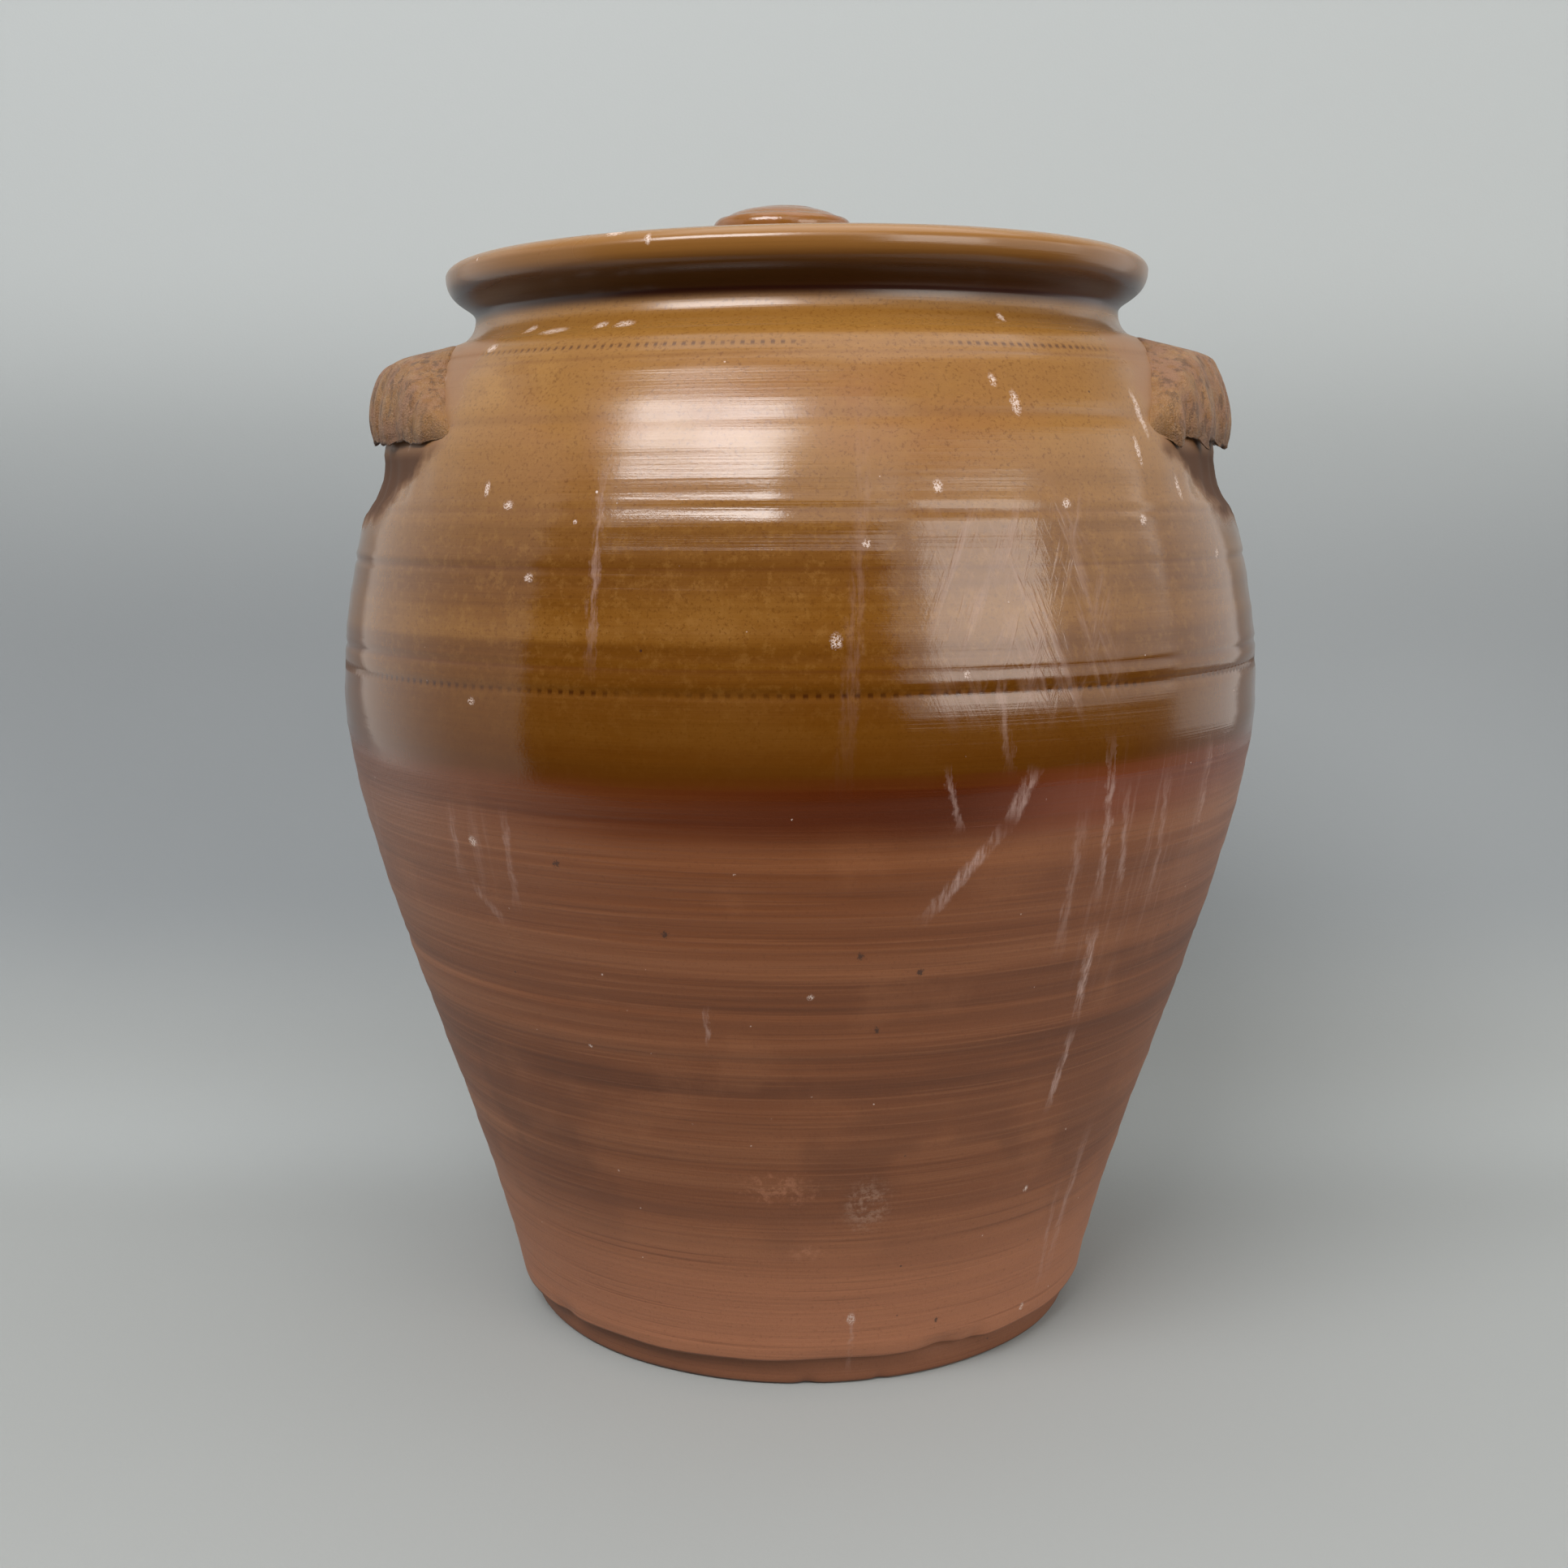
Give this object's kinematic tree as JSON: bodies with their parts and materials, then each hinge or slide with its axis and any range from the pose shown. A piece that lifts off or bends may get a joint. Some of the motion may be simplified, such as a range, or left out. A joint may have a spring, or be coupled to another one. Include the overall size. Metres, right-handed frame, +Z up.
{
  "type": "lidded storage jar",
  "caption": "Big-bellied glazed earthenware storage jar with a rolled rim, lug handles on the shoulder and an inset lid with a button knob.",
  "frame": {"origin": "centre of the flat underside that the jar stands on", "axes": "+Z up along the axis the jar was thrown on, +X towards the right-hand lug handle, -Y towards the viewer"},
  "size_m": [0.3299, 0.33, 0.399],
  "materials": {
    "amber_glaze": "gloss",
    "lug_clay": "satin",
    "lid_glaze": "gloss"
  },
  "bodies": {
    "jar": {"jar_body": "amber_glaze", "left_handle": "lug_clay", "right_handle": "lug_clay"},
    "lid": {"lid": "lid_glaze", "lid_knob": "lid_glaze"}
  },
  "joints": [
    {"name": "lid_lift", "type": "slide", "parent": "jar", "child": "lid", "axis": [0, 0, 1], "range_m": [0, 0.12]}
  ]
}
